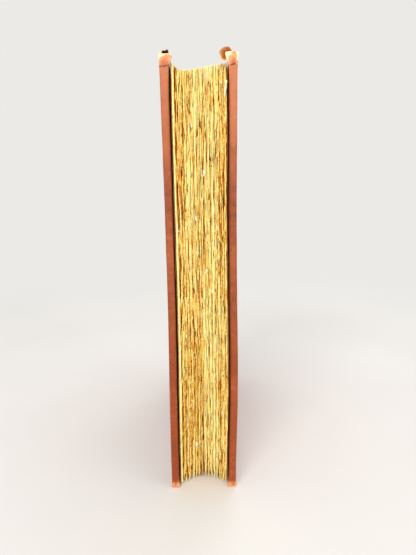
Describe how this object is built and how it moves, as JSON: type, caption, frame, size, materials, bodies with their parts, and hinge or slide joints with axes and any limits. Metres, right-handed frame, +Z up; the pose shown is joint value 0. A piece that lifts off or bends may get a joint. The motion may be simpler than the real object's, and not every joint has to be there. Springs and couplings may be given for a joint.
{
  "type": "antique leather book",
  "caption": "Closed antique book standing on its tail, with worn leather boards, a hollow deckle-edged block of leaves and a rounded spine with raised bands.",
  "frame": {"origin": "on the surface under the middle of the book, which stands on its tail", "axes": "+Z up from tail to head; -Y towards the fore-edge and +Y towards the spine; +X through the thickness from the front board to the back board"},
  "size_m": [0.0406, 0.16, 0.2429],
  "materials": {
    "leather": "worn reddish-brown calf, dry and rubbed pale at the corners",
    "leaves": "aged straw-coloured rag paper with untrimmed edges",
    "endpaper": "plain toned endpaper",
    "pasteboard": "dense grey-brown pasteboard, as heavy as paper and not corrugated",
    "hemp": "twisted hemp cord",
    "silk": "faded silk sewn over a core"
  },
  "bodies": {
    "root": {"text_block": "leaves", "spine_lining": "endpaper", "headband": "silk", "tailband": "silk", "spine_leather": "leather", "sewing_support_1": "hemp", "sewing_support_2": "hemp", "sewing_support_3": "hemp", "sewing_support_4": "hemp", "sewing_support_5": "hemp"},
    "front_cover": {"front_board": "pasteboard", "front_leather": "leather", "front_infill": "pasteboard", "front_pastedown": "endpaper", "front_cord_slips": "hemp"},
    "back_cover": {"back_board": "pasteboard", "back_leather": "leather", "back_infill": "pasteboard", "back_pastedown": "endpaper", "back_cord_slips": "hemp"}
  },
  "joints": [
    {"name": "front_hinge", "type": "hinge", "parent": "root", "child": "front_cover", "pos_m": [-0.01945, 0.0666, 0.12], "axis": [0, 0, -1], "range_deg": [0, 180]},
    {"name": "back_hinge", "type": "hinge", "parent": "root", "child": "back_cover", "pos_m": [0.01945, 0.0666, 0.12], "axis": [0, 0, 1], "range_deg": [0, 180]}
  ]
}
